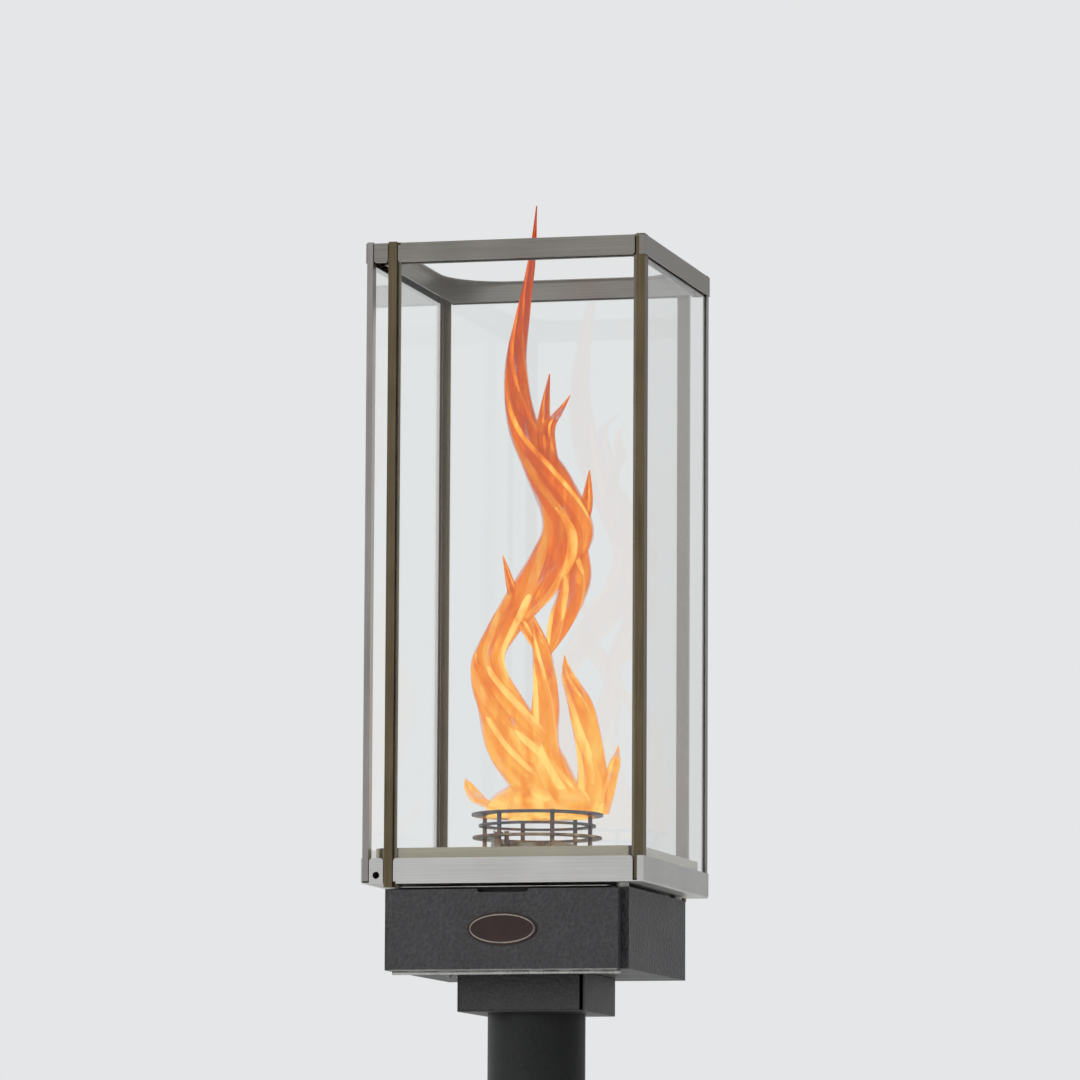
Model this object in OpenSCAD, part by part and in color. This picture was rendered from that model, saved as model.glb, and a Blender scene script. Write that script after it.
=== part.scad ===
// Square glass lantern torch on a round pole: a gas burner swirls its flame between four glass panes.
// Origin: centre of the base plate's underside. +Z is up, -Y is the front with the control door.

/* [Pole] */
// Length of the pole tube
pole_len = 1650; // [1000:10:1900]
// Outside diameter of the pole tube
pole_d = 88.9; // [84:0.1:108]
// Wall of the pole tube
pole_wall = 3; // [2:0.5:4]

/* [Base plate] */
// Side of the square base plate
base_w = 300; // [250:5:400]
// Thickness of the base plate
base_t = 12; // [8:1:20]
// Corner radius of the base plate
base_corner_r = 20; // [5:1:30]
// Distance between neighbouring anchor holes
anchor_pitch = 230; // [190:5:235]
// Diameter of an anchor hole
anchor_d = 14; // [10:1:18]
// Diameter of the hole that lets the gas line up into the pole
gas_entry_d = 61; // [30:1:70]
// Height of a gusset
gusset_h = 90; // [40:5:150]
// Reach of a gusset from the pole
gusset_l = 60; // [30:5:68]
// Thickness of a gusset
gusset_t = 8; // [5:1:12]

/* [Collar] */
// Side of the square collar under the control box
collar_w = 118; // [116:1:150]
// Height of the collar
collar_h = 35; // [30:1:60]
// Sheet of the collar
collar_t = 1.5; // [1:0.1:2.5]
// Open seam between the collar's front plate and its right side
collar_seam = 3; // [1:0.5:5]
// Side of the square plate welded on the pole's top
cap_w = 108; // [106:1:110]
// Thickness of that plate
cap_t = 5; // [4:0.5:8]
// Distance between the bolts that hold the head on the pole
head_bolt_pitch = 94; // [92:1:96]

/* [Control box] */
// Width of the control box
box_w = 225; // [220:1:270]
// Depth of the control box
box_d = 223; // [220:1:270]
// Height of the control box
box_h = 73; // [73:1:90]
// Sheet of the control box
box_t = 1.2; // [0.8:0.1:2]
// Width of the lip round the front opening
box_lip = 6.5; // [4:0.5:8]

/* [Door] */
// Width of the door
door_w = 212; // [200:1:218]
// Depth of the door's folded sides
door_depth = 14; // [10:0.5:18]
// Sheet of the door
door_t = 1.2; // [0.8:0.1:1.6]
// Gap between the top of the door and the top of the box
door_drop = 1.5; // [1:0.5:2]
// Width of the finger notch in the door's top edge
notch_w = 47; // [30:1:60]
// Depth of the finger notch down the door's face
notch_h = 3; // [2:0.5:5]
// Width of the oval badge
badge_w = 64; // [40:1:80]
// Height of the oval badge
badge_h = 30; // [20:1:34]
// Thickness of the oval badge
badge_t = 1.6; // [1:0.1:3]

/* [Piano hinge] */
// Width of the hinge
hinge_w = 208; // [150:1:212]
// Number of knuckles
knuckles = 15; // [7:2:21]
// Radius of the barrel
barrel_r = 2; // [1.8:0.1:2.5]
// Radius of the pin
hinge_pin_r = 1; // [0.8:0.1:1.2]
// Thickness of the leaves
leaf_t = 1; // [0.8:0.1:1.2]
// Depth of a leaf from the hinge line
leaf_d = 12; // [8:0.5:13]

/* [Lantern] */
// Outside width of the top frame and of the base pan
lantern_w = 260; // [245:1:320]
// Height from the underside of the pan to the top of the frame
lantern_h = 580; // [300:5:800]
// Stainless sheet of the frame and the pan
sheet = 1; // [0.8:0.1:1]
// Height of the top frame's bands
frame_h = 18; // [14:1:30]
// Width of the channel between the top frame's outer and inner bands
frame_channel = 14; // [13:0.5:17]
// Inward reach of the top plate past the inner band
frame_reach = 5; // [2:0.5:8]
// Corner radius of the opening in the top plate
opening_r = 55; // [20:1:80]
// Height of the base pan's bands
pan_h = 23; // [18:1:40]
// Outside radius of the pan's side bends
pan_bend_r = 2.4; // [1.5:0.1:2.4]
// Gap between the control box and the pan
pan_gap = 3.5; // [2:0.5:8]
// Distance between the bolts that hold the pan on the box
pan_bolt_pitch = 209; // [200:1:209]

/* [Posts and glass] */
// Thickness of a glass pane
glass_t = 3.2; // [2.6:0.1:4]
// Clearance on each face of a pane in its channel
glass_clear = 0.2; // [0.1:0.05:0.4]
// Clearance at the side edges of a pane
edge_clear = 0.5; // [0.2:0.1:1]
// Sheet of a post
post_wall = 1; // [0.8:0.1:1]
// Length of a post's outer leg
outer_leg = 8; // [5:0.5:9]
// Length of a post's inner leg
inner_leg = 11; // [8:0.5:12]
// Width of the tall air slots that make the flame swirl
air_slot = 14.4; // [8:0.2:20]
// Height of a post's tip above the top frame
post_proud = 1.2; // [0:0.1:3]
// Height of the silicone blocks under the panes
block_h = 3.5; // [2:0.5:5]

/* [Burner] */
// Height of the deck above the pan's bands
deck_proud = 9.5; // [5:0.5:20]
// Corner radius of the deck
deck_r = 15; // [5:1:30]
// Radius of the burner head
burner_r = 34; // [28:0.5:34]
// Height of the burner head
burner_h = 10; // [8:0.5:12]
// Radius of the circle of cage rods
rod_circle_r = 49.5; // [49.5:0.5:50.5]
// Radius of a cage rod
rod_r = 2; // [1.5:0.1:2]
// Number of cage rods
rods = 6; // [4:1:8]
// Outer radius of the lowest, the middle and the top flame ring
ring_r = [59, 53.5, 60];
// Height of the three flame rings above the deck
ring_z = [15, 26, 36];
// Inner radius of all three flame rings
ring_hole_r = 46; // [45.5:0.1:46.2]
// Thickness of a flame ring
ring_t = 2; // [1:0.5:3]
// Outside radius of the burner's mixing tube
venturi_r = 13; // [11:0.5:13]
// Wall of the mixing tube
venturi_wall = 1.2; // [1:0.1:2]
// Distance of the pilot, the electrode and the thermocouple from the middle
pilot_circle_r = 40.5; // [40:0.1:41]

/* [Controls] */
// Distance of the control panel from the middle
panel_y = 71; // [70:1:72]
// Radius of the gas control knob
knob_r = 18; // [14:0.5:18]
// Length of the gas control knob
knob_len = 20; // [12:1:24]
// Push of the gas control knob
knob_push = 4; // [2:0.5:4]
// Push of the igniter button
igniter_push = 4; // [2:0.5:5]
// Length of the shut-off lever from its stem
lever_len = 34; // [20:1:34]

/* [Hidden] */
$fn = 48;

// colours
steel = "silver";
warm_steel = "tan";
black_paint = "dimgray";
brass = "goldenrod";
burnt_steel = "rosybrown";
white_ceramic = "white";
black_plastic = "black";

// small clearances
fit = 0.05; // a pin or a shaft in its bore
gap = 0.3; // faces that pass each other
hole_gap = 0.5; // a screw, a tube or a rod in a drilled hole
through = 1; // how far a cut runs past a face

// heights
pole_r = pole_d / 2;
pole_top = base_t + pole_len;
box_z = pole_top + cap_t;
box_top = box_z + box_h;
pan_z = box_top + pan_gap;
pan_floor = pan_z + sheet;
frame_top = pan_z + lantern_h;
deck_z = pan_z + pan_h + deck_proud;
post_foot = pan_z + pan_bend_r;
post_tip = frame_top + post_proud;
glass_foot = pan_floor + block_h;
glass_head = frame_top - sheet - 1;

// lantern outline, measured inward from its outer face
half = lantern_w / 2;
slot_w = glass_t + 2 * glass_clear;
glass_in = sheet + post_wall + glass_clear; // outer face of a pane
channel_in = sheet + 2 * post_wall + slot_w; // inner face of a post
front_post_x = -half + channel_in + air_slot;
deck_half = half - channel_in - 1.4;

// control box
box_front = -box_d / 2;
door_front = box_front - gap - door_depth;
door_top = box_top - door_drop;
hinge_y = box_front;
hinge_z = box_z - gap - barrel_r;

// gas train
panel_t = 1.5;
valve_x = -44;
valve_w = 56;
valve_rear_y = -14;
valve_bottom = box_z + 12;
valve_h = 46;
knob_z = box_z + 36;
stem_r = 4;
plunger_r = 6;
plunger_len = 6;
stem_end_y = -57;
knob_rear_y = -panel_y - knob_push - 1;
igniter_x = 62;
igniter_r = 10;
button_r = 6;
button_face_y = -80;
supply_x = 16;
supply_y = -24;
supply_r = 6;
supply_len = 300;
shutoff_r = 11;
shutoff_z = box_z + 8;
shutoff_h = 32;
lever_z = box_z + 24;
lever_y = -88;
lever_t = 5;
tube_r = 4;
link_bend_r = 10;
outlet_z = box_z + 24;
outlet_bend_r = 14;
holder_z = box_z + 17;
holder_h = 14;
holder_w = 22;
orifice_h = 12;
venturi_z = holder_z + holder_h + orifice_h + 3;
shutter_z = venturi_z + 2;
shutter_h = 14;
shutter_r = venturi_r + 1.4;
pilot_angle = 225;
pilot_step = 16;

function pilot_place(angle) = [pilot_circle_r * cos(angle), pilot_circle_r * sin(angle)];
pilot_xy = pilot_place(pilot_angle);
electrode_xy = pilot_place(pilot_angle - pilot_step);
thermocouple_xy = pilot_place(pilot_angle + pilot_step);

// ---- shared shapes ----

// a square centred on the origin, with round corners
module rounded_square(side, r) {
    square([side, side - 2 * r], center = true);
    square([side - 2 * r, side], center = true);
    for (x = [-1, 1], y = [-1, 1])
        translate([x * (side / 2 - r), y * (side / 2 - r)]) circle(r);
}

// a band lying from x0 to x1 with its free edge at height 0 rounded at both ends
module band_outline(x0, x1, h, r = 3) {
    translate([x0, r]) square([x1 - x0, h - r]);
    translate([x0 + r, 0]) square([x1 - x0 - 2 * r, h]);
    for (x = [x0 + r, x1 - r]) translate([x, r]) circle(r);
}

// the outline of that band, stood up in the front face and one sheet thick
module front_band(x0, x1, z, h, flip = false) {
    translate([0, -half + sheet, z + (flip ? h : 0)])
        mirror([0, 0, flip ? 1 : 0])
            rotate([90, 0, 0]) linear_extrude(sheet) band_outline(x0, x1, h);
}

// both halves of the lantern match when it is turned half round
module both_halves() {
    children();
    rotate(180) children();
}

module tube(r, bore_r, len) {
    difference() {
        cylinder(h = len, r = r);
        translate([0, 0, -through]) cylinder(h = len + 2 * through, r = bore_r);
    }
}

module at_corners(pitch) {
    for (x = [-1, 1], y = [-1, 1]) translate([x * pitch / 2, y * pitch / 2, 0]) children();
}

// a cylinder along +Y that starts at y
module rod_y(y, len, r) {
    translate([0, y, 0]) rotate([-90, 0, 0]) cylinder(h = len, r = r);
}

// a block from one corner to the other
module block(low, high) {
    translate(low) cube(high - low);
}

// a hexagon bolt through a stack: head above z_head, nut below z_nut, tip under the nut
module bolt(r, z_head, z_nut, nut_r, nut_h, tip) {
    translate([0, 0, z_head]) cylinder(h = nut_h, r = nut_r, $fn = 6);
    translate([0, 0, z_nut - nut_h - tip]) cylinder(h = z_head - z_nut + nut_h + tip + 0.5, r = r);
    translate([0, 0, z_nut - nut_h]) cylinder(h = nut_h, r = nut_r, $fn = 6);
}

// ---- stand ----

module base_plate() {
    color(black_paint) difference() {
        linear_extrude(base_t) rounded_square(base_w, base_corner_r);
        at_corners(anchor_pitch) translate([0, 0, -through]) cylinder(h = base_t + 2 * through, r = anchor_d / 2);
        translate([0, 0, -through]) cylinder(h = base_t + 2 * through, r = gas_entry_d / 2);
    }
}

module base_gussets() {
    nose = 8;
    color(black_paint) for (a = [0:90:270]) rotate(a)
        difference() {
            translate([0, gusset_t / 2, base_t]) rotate([90, 0, 0]) linear_extrude(gusset_t)
                polygon([[pole_r - pole_wall, 0], [pole_r + gusset_l, 0], [pole_r + gusset_l, nose],
                    [pole_r + nose, gusset_h], [pole_r - pole_wall, gusset_h]]);
            translate([0, 0, base_t - through]) cylinder(h = gusset_h + 2 * through, r = pole_r);
        }
}

module pole() {
    color(black_paint) translate([0, 0, base_t]) tube(pole_r, pole_r - pole_wall, pole_len);
}

module pole_cap() {
    cap_hole_r = 30;
    bolt_r = 3;
    color(black_paint) difference() {
        translate([0, 0, pole_top]) linear_extrude(cap_t) rounded_square(cap_w, 4);
        translate([supply_x / 2, supply_y / 2, pole_top - through])
            cylinder(h = cap_t + 2 * through, r = cap_hole_r);
        at_corners(head_bolt_pitch) translate([0, 0, pole_top - through])
            cylinder(h = cap_t + 2 * through, r = bolt_r + hole_gap);
    }
}

module head_bolts() {
    color(steel) at_corners(head_bolt_pitch) bolt(3, box_z + box_t, pole_top, 5.8, 4, 3);
}

// ---- collar ----

module collar_wrap() {
    c = collar_w / 2;
    seat_z = box_z - collar_h;
    color(black_paint) difference() {
        block([-c, -c, seat_z], [c, c, box_z]);
        block([-c + collar_t, -c - through, seat_z + collar_t], [c - collar_t, c - collar_t, box_z + through]);
        translate([0, 0, seat_z - through]) cylinder(h = collar_t + 2 * through, r = pole_r + gap);
    }
}

module collar_front() {
    c = collar_w / 2;
    seat_z = box_z - collar_h + collar_t;
    x1 = c - collar_t - collar_seam;
    x0 = -c + collar_t;
    return_d = (collar_w - cap_w) / 2 - gap;
    color(black_paint) {
        block([x0, -c, seat_z], [x1, -c + collar_t, box_z]);
        block([x0, -c + collar_t, seat_z], [x0 + collar_t, -c + return_d, box_z]);
        block([x1 - collar_t, -c + collar_t, seat_z], [x1, -c + return_d, box_z]);
    }
}

// ---- control box ----

module control_box() {
    w = box_w / 2;
    d = box_d / 2;
    color(black_paint) difference() {
        block([-w, -d, box_z], [w, d, box_top]);
        block([-w + box_t, -d + box_t, box_z + box_t], [w - box_t, d - box_t, box_top - box_t]);
        block([-w + box_lip, -d - through, box_z + box_lip], [w - box_lip, -d + 2 * box_t, box_top - box_lip]);
        translate([supply_x, supply_y, box_z - through])
            cylinder(h = box_t + 2 * through, r = supply_r + hole_gap);
        at_corners(head_bolt_pitch) translate([0, 0, box_z - through])
            cylinder(h = box_t + 2 * through, r = 3 + hole_gap);
        bracket_screw_places() translate([0, 0, box_z - through])
            cylinder(h = box_t + 2 * through, r = 2 + hole_gap);
        translate([0, 0, box_top - box_t - through]) burner_holes(box_t + 2 * through);
        at_corners(pan_bolt_pitch) translate([0, 0, box_top - box_t - through])
            cylinder(h = box_t + 2 * through, r = 2.5 + hole_gap);
        // vent slots low in the back wall
        for (i = [-3:3]) translate([i * 26, d - box_t - through, box_z + 12]) rotate([-90, 0, 0])
            linear_extrude(box_t + 2 * through) {
                square([14, 4], center = true);
                for (x = [-7, 7]) translate([x, 0]) circle(2);
            }
    }
}

// holes for all that rises from the control box to the burner
module burner_holes(h) {
    cylinder(h = h, r = venturi_r + hole_gap);
    translate(pilot_xy) cylinder(h = h, r = 2 + hole_gap);
    translate(electrode_xy) cylinder(h = h, r = 3 + hole_gap);
    translate(thermocouple_xy) cylinder(h = h, r = 2.2 + hole_gap);
}

module bracket_screw_places() {
    for (y = [-62, -24]) translate([-66, y, 0]) children();
}

module control_panel() {
    half_w = 88;
    top_gap = 12;
    foot = 14;
    color(steel) difference() {
        union() {
            block([-half_w, -panel_y, box_z + box_t], [half_w, -panel_y + panel_t, box_top - top_gap]);
            block([igniter_x + 14, -panel_y, box_z + box_t], [half_w, -panel_y + foot, box_z + box_t + panel_t]);
            block([-half_w, -panel_y, box_z + box_t], [-half_w + 10, -panel_y + foot, box_z + box_t + panel_t]);
        }
        translate([valve_x, 0, knob_z]) rod_y(-panel_y - through, panel_t + 2 * through, stem_r + hole_gap);
        translate([igniter_x, 0, knob_z]) rod_y(-panel_y - through, panel_t + 2 * through, 8 + fit);
        translate([supply_x, 0, lever_z]) rod_y(-panel_y - through, panel_t + 2 * through, 3 + hole_gap);
    }
}

module box_door() {
    w = door_w / 2;
    y1 = box_front - gap;
    color(black_paint) difference() {
        block([-w, door_front, box_z], [w, y1, door_top]);
        block([-w + door_t, door_front + door_t, box_z + door_t], [w - door_t, y1 + through, door_top - door_t]);
        // finger notch through the top edge, with round ends
        translate([0, door_front - through, door_top]) rotate([-90, 0, 0]) linear_extrude(door_depth) {
            square([notch_w - 2 * notch_h, 2 * notch_h], center = true);
            for (x = [-1, 1]) translate([x * (notch_w / 2 - notch_h), 0]) circle(notch_h);
        }
    }
}

function oval(w, h, steps = 56) = [for (i = [0:steps - 1]) [w / 2 * cos(360 * i / steps), h / 2 * sin(360 * i / steps)]];

module badge() {
    rim = 1.8;
    recess = 0.6;
    color("saddlebrown") translate([0, door_front, (box_z + door_top) / 2]) rotate([90, 0, 0]) difference() {
        linear_extrude(badge_t) polygon(oval(badge_w, badge_h));
        translate([0, 0, badge_t - recess]) linear_extrude(recess + through)
            polygon(oval(badge_w - 2 * rim, badge_h - 2 * rim));
    }
}

// knuckles first, first + 2, ... and the leaf that they belong to; side is +1 toward the box
module hinge_leaf(first, side) {
    pitch = hinge_w / knuckles;
    y_near = side > 0 ? barrel_r + gap : -leaf_d;
    y_far = side > 0 ? leaf_d : -barrel_r - gap;
    color(steel) translate([-hinge_w / 2, hinge_y, 0]) difference() {
        union() {
            block([0, y_near, box_z - leaf_t], [hinge_w, y_far, box_z]);
            for (i = [first:2:knuckles - 1]) {
                x0 = i * pitch + gap / 2;
                len = pitch - gap;
                translate([x0, 0, hinge_z]) rotate([0, 90, 0]) cylinder(h = len, r = barrel_r);
                block([x0, side > 0 ? 0 : y_far - fit, box_z - leaf_t], [x0 + len, side > 0 ? y_near + fit : 0, box_z]);
            }
        }
        translate([-through, 0, hinge_z]) rotate([0, 90, 0])
            cylinder(h = hinge_w + 2 * through, r = hinge_pin_r + fit);
    }
}

module hinge_leaf_box() {
    hinge_leaf(0, 1);
}

module hinge_leaf_door() {
    hinge_leaf(1, -1);
}

module hinge_pin() {
    head = 1;
    color(steel) translate([-hinge_w / 2, hinge_y, hinge_z]) rotate([0, 90, 0]) {
        cylinder(h = hinge_w, r = hinge_pin_r);
        translate([0, 0, -head]) cylinder(h = head, r = barrel_r - 0.2);
        translate([0, 0, hinge_w]) cylinder(h = head, r = barrel_r - 0.2);
    }
}

module door_magnet() {
    magnet_w = 24;
    magnet_d = 9;
    top = box_top - 4;
    color("darkslategray") translate([62, 0, 0]) difference() {
        block([-magnet_w / 2, box_front - magnet_d, top - 6], [magnet_w / 2, box_front, top]);
        block([-magnet_w / 4, box_front - magnet_d - through, top - 6 - through],
            [magnet_w / 4, box_front - magnet_d + 2, top + through]);
    }
}

// ---- gas train and controls ----

module valve_bracket() {
    t = 1.5;
    x0 = valve_x - valve_w / 2;
    x1 = valve_x + valve_w / 2;
    floor_z = box_z + box_t;
    color(steel) difference() {
        union() {
            block([x0, -panel_y + panel_t, valve_bottom - t], [x1, valve_rear_y, valve_bottom]);
            block([x0, -panel_y + panel_t, floor_z], [x0 + t, valve_rear_y, valve_bottom]);
            block([x1 - t, -panel_y + panel_t, floor_z], [x1, valve_rear_y, valve_bottom]);
            block([x0, -panel_y + panel_t, floor_z], [x0 + 11, valve_rear_y, floor_z + t]);
        }
        bracket_screw_places() translate([0, 0, floor_z - through]) cylinder(h = t + 2 * through, r = 2 + hole_gap);
    }
}

module bracket_screws() {
    color(steel) bracket_screw_places() bolt(2, box_z + box_t + 1.5, box_z, 3.6, 3, 2);
}

module gas_valve() {
    x0 = valve_x - valve_w / 2;
    x1 = valve_x + valve_w / 2;
    chamber_y = stem_end_y - 1;
    top = valve_bottom + valve_h;
    color("lightslategray") difference() {
        union() {
            block([x0, -panel_y + panel_t, valve_bottom], [x1, valve_rear_y, top]);
            // round regulator cover on top
            translate([valve_x - 12, -42, top]) cylinder(h = 4, r = 13);
            // inlet and outlet bosses
            translate([x1, supply_y, valve_bottom + 38]) rotate([0, 90, 0]) cylinder(h = 5, r = 6.5);
        }
        translate([valve_x, 0, knob_z]) rod_y(-panel_y, panel_y + chamber_y + through, stem_r + fit);
        translate([valve_x, 0, knob_z]) rod_y(chamber_y, plunger_len + knob_push + 2, plunger_r + fit);
        translate([x1 - 6, supply_y, valve_bottom + 38]) rotate([0, 90, 0]) cylinder(h = 12, r = tube_r + fit);
        translate([valve_x - 4, 0, outlet_z]) rod_y(valve_rear_y - 6, 6 + through, tube_r + fit);
        translate([pilot_xy[0], pilot_xy[1], top - 5]) cylinder(h = 5 + through, r = 2 + fit);
        translate([thermocouple_xy[0], thermocouple_xy[1], top - 5]) cylinder(h = 5 + through, r = 2.2 + fit);
    }
}

module valve_plunger() {
    color(brass) translate([valve_x, 0, knob_z]) rod_y(stem_end_y, plunger_len, plunger_r);
}

module valve_stem() {
    front_y = knob_rear_y - knob_len + 4;
    color(brass) translate([valve_x, 0, knob_z]) rod_y(front_y, stem_end_y - front_y, stem_r);
}

module control_knob() {
    grip_w = 8;
    skirt = 5;
    front_y = knob_rear_y - knob_len;
    color(black_plastic) translate([valve_x, 0, knob_z]) difference() {
        union() {
            rod_y(knob_rear_y - skirt, skirt, knob_r);
            rod_y(front_y + 4, knob_len - skirt - 4, knob_r - 6);
            block([-grip_w / 2, front_y, -knob_r + 2], [grip_w / 2, knob_rear_y - skirt, knob_r - 2]);
        }
        rod_y(front_y + 4, knob_len, stem_r + fit);
    }
}

module igniter_body() {
    flange_y = -panel_y - 3;
    bore_y = button_face_y + 14 + igniter_push + 1;
    color(black_plastic) translate([igniter_x, 0, knob_z]) difference() {
        union() {
            rod_y(flange_y, 3, igniter_r + 1);
            rod_y(-panel_y, panel_t, 8);
            rod_y(-panel_y + panel_t, 46, igniter_r);
        }
        rod_y(flange_y - through, bore_y - flange_y + through, button_r + fit);
    }
}

module igniter_button() {
    color("firebrick") translate([igniter_x, 0, knob_z]) rod_y(button_face_y, 14, button_r);
}

// the wire from the igniter to the electrode: one ring of points at each place along the route
wire_r = 1.5;
wire_sides = 8;
igniter_rear = -panel_y + panel_t + 46;
wire_route = [[igniter_x, igniter_rear, knob_z], [igniter_x, igniter_rear + 5, knob_z],
    [igniter_x - 2, igniter_rear + 9, knob_z + 4], [igniter_x - 9, igniter_rear + 9, knob_z + 13],
    [igniter_x - 22, igniter_rear + 6, knob_z + 22], [igniter_x - 40, igniter_rear + 4, knob_z + 25],
    [igniter_x - 60, igniter_rear + 3, knob_z + 26], [electrode_xy[0] + 14, electrode_xy[1], knob_z + 26],
    [electrode_xy[0] + 5, electrode_xy[1], knob_z + 27], [electrode_xy[0] + 1, electrode_xy[1], knob_z + 29],
    [electrode_xy[0], electrode_xy[1], box_top - 5.5], [electrode_xy[0], electrode_xy[1], box_top - 4.2]];
function unit(v) = v / norm(v);
function wire_dir(i) = unit(wire_route[min(i + 1, len(wire_route) - 1)] - wire_route[max(i - 1, 0)]);
function wire_side(d) = unit(cross(d, abs(d[2]) < 0.9 ? [0, 0, 1] : [0, 1, 0]));
function wire_side_at(i) = i == 0 ? wire_side(wire_dir(0))
    : let (d = wire_dir(i), s = wire_side_at(i - 1)) unit(s - d * (s * d));
function wire_ring(i) = let (d = wire_dir(i), s = wire_side_at(i), u = cross(d, s))
    [for (k = [0:wire_sides - 1]) wire_route[i] + wire_r * (s * cos(360 * k / wire_sides) + u * sin(360 * k / wire_sides))];

module ignition_wire() {
    rings = len(wire_route);
    points = [for (i = [0:rings - 1]) each wire_ring(i)];
    sides = [for (i = [0:rings - 2], k = [0:wire_sides - 1])
        [i * wire_sides + k, i * wire_sides + (k + 1) % wire_sides,
            (i + 1) * wire_sides + (k + 1) % wire_sides, (i + 1) * wire_sides + k]];
    first = [for (k = [wire_sides - 1:-1:0]) k];
    last = [for (k = [0:wire_sides - 1]) (rings - 1) * wire_sides + k];
    color("firebrick") polyhedron(points, concat([first, last], sides));
}

module supply_tube() {
    nut_r = 9;
    nut_h = 18;
    bottom = box_z - supply_len;
    color(brass) translate([supply_x, supply_y, 0]) {
        translate([0, 0, bottom]) tube(supply_r, supply_r - 1, shutoff_z - bottom);
        translate([0, 0, bottom]) difference() {
            cylinder(h = nut_h, r = nut_r, $fn = 6);
            translate([0, 0, -through]) cylinder(h = nut_h + 2 * through, r = supply_r - 0.5);
        }
    }
}

module shutoff_valve() {
    boss_y = -21;
    color(brass) translate([supply_x, supply_y, 0]) difference() {
        union() {
            translate([0, 0, shutoff_z]) cylinder(h = 9, r = shutoff_r, $fn = 6);
            translate([0, 0, shutoff_z]) cylinder(h = shutoff_h, r = shutoff_r - 2.5);
            translate([0, 0, shutoff_z + shutoff_h - 7]) cylinder(h = 7, r = shutoff_r - 1, $fn = 6);
            translate([0, 0, lever_z]) rod_y(boss_y, -boss_y, 6.5);
        }
        translate([0, 0, lever_z]) rod_y(boss_y - through, 10 + through, 3 + fit);
        translate([0, 0, shutoff_z + shutoff_h - 6]) cylinder(h = 6 + through, r = tube_r + fit);
    }
}

module shutoff_handle() {
    bottom_y = supply_y - 21 + 9;
    width = 9;
    color("gold") translate([supply_x, 0, lever_z]) {
        rod_y(lever_y, bottom_y - lever_y, 3);
        difference() {
            union() {
                block([-width / 2, lever_y, 0], [width / 2, lever_y + lever_t, lever_len - width / 2]);
                rod_y(lever_y, lever_t, width / 2 + 1);
                translate([0, 0, lever_len - width / 2]) rod_y(lever_y, lever_t, width / 2);
            }
            rod_y(lever_y - through, lever_t + 2 * through, 2.9);
        }
    }
}

module tube_bend(r, bend_r) {
    rotate_extrude(angle = 90) translate([bend_r, 0]) circle(r);
}

module link_tube() {
    z0 = shutoff_z + shutoff_h - 5;
    z1 = valve_bottom + 38;
    x0 = valve_x + valve_w / 2 - 5;
    color(warm_steel) translate([supply_x, supply_y, 0]) {
        translate([0, 0, z0]) cylinder(h = z1 - link_bend_r - z0, r = tube_r);
        translate([-link_bend_r, 0, z1 - link_bend_r]) rotate([90, 0, 0]) tube_bend(tube_r, link_bend_r);
        translate([x0 - supply_x, 0, z1]) rotate([0, 90, 0])
            cylinder(h = supply_x - link_bend_r - x0, r = tube_r);
    }
}

module outlet_tube() {
    x = valve_x - 4;
    reach = -holder_w / 2 + 4 - (x + outlet_bend_r);
    color(warm_steel) translate([x, valve_rear_y, outlet_z]) {
        rod_y(-5, 5, tube_r);
        translate([outlet_bend_r, 0, 0]) rotate(90) tube_bend(tube_r, outlet_bend_r);
        translate([outlet_bend_r, outlet_bend_r, 0]) rotate([0, 90, 0]) cylinder(h = reach, r = tube_r);
    }
}

module orifice_bracket() {
    t = 1.5;
    w = 13;
    floor_z = box_z + box_t;
    color(steel) {
        block([-w, -w, holder_z - t], [w, w, holder_z]);
        for (x = [-w, w - t]) block([x, -w, floor_z], [x + t, w, holder_z]);
    }
}

module orifice_holder() {
    w = holder_w / 2;
    color(brass) difference() {
        block([-w, -w, holder_z], [w, w, holder_z + holder_h]);
        translate([-w - through, 0, outlet_z]) rotate([0, 90, 0]) cylinder(h = 5 + through, r = tube_r + fit);
    }
}

module gas_orifice() {
    z = holder_z + holder_h;
    color(brass) translate([0, 0, z]) difference() {
        union() {
            cylinder(h = 5, r = 6, $fn = 6);
            cylinder(h = orifice_h, r = 3.5);
        }
        translate([0, 0, 2]) cylinder(h = orifice_h, r = 1);
    }
}

// four windows cut across a tube for air
module air_windows(z, h, w) {
    for (a = [0, 90]) rotate(a) translate([0, 0, z + h / 2]) cube([4 * venturi_r, w, h], center = true);
}

module venturi_tube() {
    bore_r = venturi_r - venturi_wall;
    color(burnt_steel) difference() {
        translate([0, 0, venturi_z]) tube(venturi_r, bore_r, deck_z + 2.5 - venturi_z);
        air_windows(shutter_z + 3, shutter_h - 6, 9);
    }
}

module air_shutter() {
    color(steel) difference() {
        translate([0, 0, shutter_z]) tube(shutter_r, venturi_r + fit, shutter_h);
        air_windows(shutter_z + 3, shutter_h - 6, 9);
    }
}

// ---- pan and burner ----

module pan_spacers() {
    color(steel) at_corners(pan_bolt_pitch) translate([0, 0, box_top]) tube(6, 2.5 + hole_gap, pan_gap);
}

module pan_bolts() {
    color(steel) at_corners(pan_bolt_pitch) bolt(2.5, pan_floor, box_top - box_t, 4.8, 3.5, 2);
}

// places of the front face's bands, from the left edge; the post shows in each gap between them
tab_x0 = -half + sheet + 2 * post_wall + slot_w + 0.8;
tab_x1 = front_post_x - 0.6;
band_x0 = front_post_x + outer_leg + 0.8;
band_x1 = half - 10;
corner_tab_x0 = half - 6;

// what stands in the lantern's front-left and front-right corners, with room round it
module post_room(z0, z1) {
    x1 = front_post_x + inner_leg + gap;
    block([front_post_x - gap, -half - through, z0], [x1, -half + channel_in + gap, z1]);
    block([-half + sheet, -half - through, z0], [tab_x0 - 0.5, -half + inner_leg + gap, z1]);
}

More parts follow.
